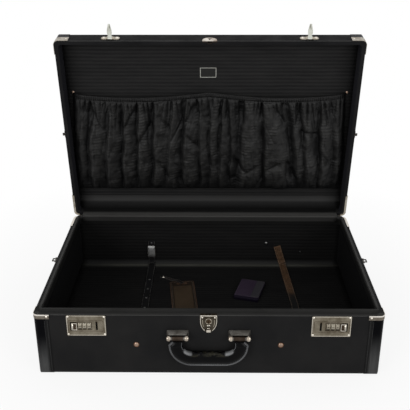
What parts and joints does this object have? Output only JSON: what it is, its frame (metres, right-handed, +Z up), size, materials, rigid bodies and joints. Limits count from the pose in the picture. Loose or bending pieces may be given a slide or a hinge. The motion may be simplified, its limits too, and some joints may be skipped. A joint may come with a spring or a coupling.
{
  "type": "suitcase",
  "caption": "Hard leather-covered suitcase with a hinged lid, dial locks with hasps, a key lock, swinging handle, side catches, packing straps and a gathered lid pocket.",
  "frame": {"origin": "centre of the base's underside, on the surface the case rests on", "axes": "+X to the right seen from the front, +Y from the front with the handle to the hinges at the back, +Z up"},
  "size_m": [0.6842, 0.5102, 0.6143],
  "materials": {
    "case_leather": "fine-grained black leather, worn and slightly dusty",
    "corner_leather": "smoother black leather with a dull shine",
    "board": "laminated fibre board, hidden",
    "lining": "dark grey ribbed lining cloth",
    "lip_cloth": "cloth-covered lip, matt",
    "nickel": "warm nickel plate, lightly scratched",
    "steel": "dull steel",
    "dial_metal": "nickel dials with dark figures",
    "mount_metal": "dark warm grey metal",
    "eye_metal": "brown tarnished steel",
    "handle_leather": "black leather, polished by use",
    "copper": "copper rivet heads",
    "black_strap": "black strap",
    "brown_strap": "brown underside of a strap",
    "tag_leather": "light brown leather with a darker border",
    "tag_strap": "dark brown leather",
    "pouch_leather": "purple-grey leather",
    "pocket_cloth": "dark grey gathered cloth",
    "hinge_cloth": "dark grey cloth strip",
    "label": "black plate with a thin pale gold border, bare"
  },
  "bodies": {
    "base": {"base_shell": "board", "base_leather": "case_leather", "base_lining": "lining", "base_lip": "lip_cloth", "base_corner_covers": "corner_leather", "base_corner_plates": "nickel", "base_rivets": "nickel", "base_hinge_leaves": "steel", "hinge_pins": "steel", "lock_plates": "nickel", "lock_cases": "steel", "lock_spindles": "steel", "left_lock_spring": "steel", "right_lock_spring": "steel", "key_lock_plate": "nickel", "key_lock_case": "steel", "handle_mounts": "mount_metal", "handle_pins": "nickel", "strap_rivets": "copper", "left_strap": "black_strap", "left_strap_buckle": "nickel", "right_strap": "brown_strap", "right_strap_tab": "black_strap", "strap_studs": "nickel", "catch_plates": "steel", "luggage_tag": "tag_leather", "tag_strap": "tag_strap", "key_pouch": "pouch_leather", "hinge_cover": "hinge_cloth"},
    "lid": {"lid_shell": "board", "lid_leather": "case_leather", "lid_lining": "lining", "lid_corner_covers": "corner_leather", "lid_corner_plates": "nickel", "lid_rivets": "nickel", "lid_hinge_leaves": "steel", "lid_pocket": "pocket_cloth", "pocket_studs": "copper", "label_plate": "label", "hasp_plates": "nickel", "hasp_pins": "steel", "key_lock_hasp": "nickel", "catch_keepers": "steel"},
    "handle": {"handle_eyes": "eye_metal", "handle_core": "steel", "handle_grip": "handle_leather"},
    "left_dial_1": {"left_dial_1": "dial_metal"},
    "left_dial_2": {"left_dial_2": "dial_metal"},
    "left_dial_3": {"left_dial_3": "dial_metal"},
    "left_lock_button": {"left_lock_button": "nickel"},
    "left_hasp": {"left_hasp": "nickel"},
    "left_catch_loop": {"left_catch_loop": "nickel"},
    "right_dial_1": {"right_dial_1": "dial_metal"},
    "right_dial_2": {"right_dial_2": "dial_metal"},
    "right_dial_3": {"right_dial_3": "dial_metal"},
    "right_lock_button": {"right_lock_button": "nickel"},
    "right_hasp": {"right_hasp": "nickel"},
    "right_catch_loop": {"right_catch_loop": "nickel"},
    "key_barrel": {"key_barrel": "nickel"},
    "key_lock_latch": {"key_lock_latch": "nickel"}
  },
  "joints": [
    {"name": "lid_hinge", "type": "hinge", "parent": "base", "child": "lid", "pos_m": [0, 0.2252, 0.13715], "axis": [-1, 0, 0], "range_deg": [-80.7, 99.3], "deforming": ["hinge_cover"]},
    {"name": "handle_swing", "type": "hinge", "parent": "base", "child": "handle", "pos_m": [0, -0.2315, 0.091], "axis": [-1, 0, 0], "range_deg": [0, 95]},
    {"name": "left_dial_1_turn", "type": "hinge", "parent": "base", "child": "left_dial_1", "pos_m": [-0.2447, -0.2164, 0.1124], "axis": [1, 0, 0], "continuous": true},
    {"name": "left_dial_2_turn", "type": "hinge", "parent": "base", "child": "left_dial_2", "pos_m": [-0.2359, -0.2164, 0.1124], "axis": [1, 0, 0], "continuous": true},
    {"name": "left_dial_3_turn", "type": "hinge", "parent": "base", "child": "left_dial_3", "pos_m": [-0.2271, -0.2164, 0.1124], "axis": [1, 0, 0], "continuous": true},
    {"name": "left_lock_slide", "type": "slide", "parent": "base", "child": "left_lock_button", "axis": [-1, 0, 0], "range_m": [0, 0.004], "stiffness_N_per_m": 300, "springref_m": -0.003, "deforming": ["left_lock_spring"]},
    {"name": "left_hasp_hinge", "type": "hinge", "parent": "lid", "child": "left_hasp", "pos_m": [-0.213, 0.16051, 0.58265], "axis": [-1, 0, 0], "range_deg": [-90, 80]},
    {"name": "left_catch_swing", "type": "hinge", "parent": "base", "child": "left_catch_loop", "pos_m": [-0.3351, 0, 0.1345], "axis": [0, -1, 0], "range_deg": [-90, 90]},
    {"name": "right_dial_1_turn", "type": "hinge", "parent": "base", "child": "right_dial_1", "pos_m": [0.2447, -0.2164, 0.1124], "axis": [1, 0, 0], "continuous": true},
    {"name": "right_dial_2_turn", "type": "hinge", "parent": "base", "child": "right_dial_2", "pos_m": [0.2359, -0.2164, 0.1124], "axis": [1, 0, 0], "continuous": true},
    {"name": "right_dial_3_turn", "type": "hinge", "parent": "base", "child": "right_dial_3", "pos_m": [0.2271, -0.2164, 0.1124], "axis": [1, 0, 0], "continuous": true},
    {"name": "right_lock_slide", "type": "slide", "parent": "base", "child": "right_lock_button", "axis": [1, 0, 0], "range_m": [0, 0.004], "stiffness_N_per_m": 300, "springref_m": -0.003, "deforming": ["right_lock_spring"]},
    {"name": "right_hasp_hinge", "type": "hinge", "parent": "lid", "child": "right_hasp", "pos_m": [0.213, 0.16051, 0.58265], "axis": [-1, 0, 0], "range_deg": [-90, 80]},
    {"name": "right_catch_swing", "type": "hinge", "parent": "base", "child": "right_catch_loop", "pos_m": [0.3351, 0, 0.1345], "axis": [0, 1, 0], "range_deg": [-90, 90]},
    {"name": "key_turn", "type": "hinge", "parent": "base", "child": "key_barrel", "pos_m": [0, -0.222, 0.1236], "axis": [0, 1, 0], "range_deg": [0, 90]},
    {"name": "key_lock_slide", "type": "slide", "parent": "base", "child": "key_lock_latch", "axis": [-1, 0, 0], "range_m": [0, 0.003], "stiffness_N_per_m": 300, "springref_m": -0.002}
  ]
}
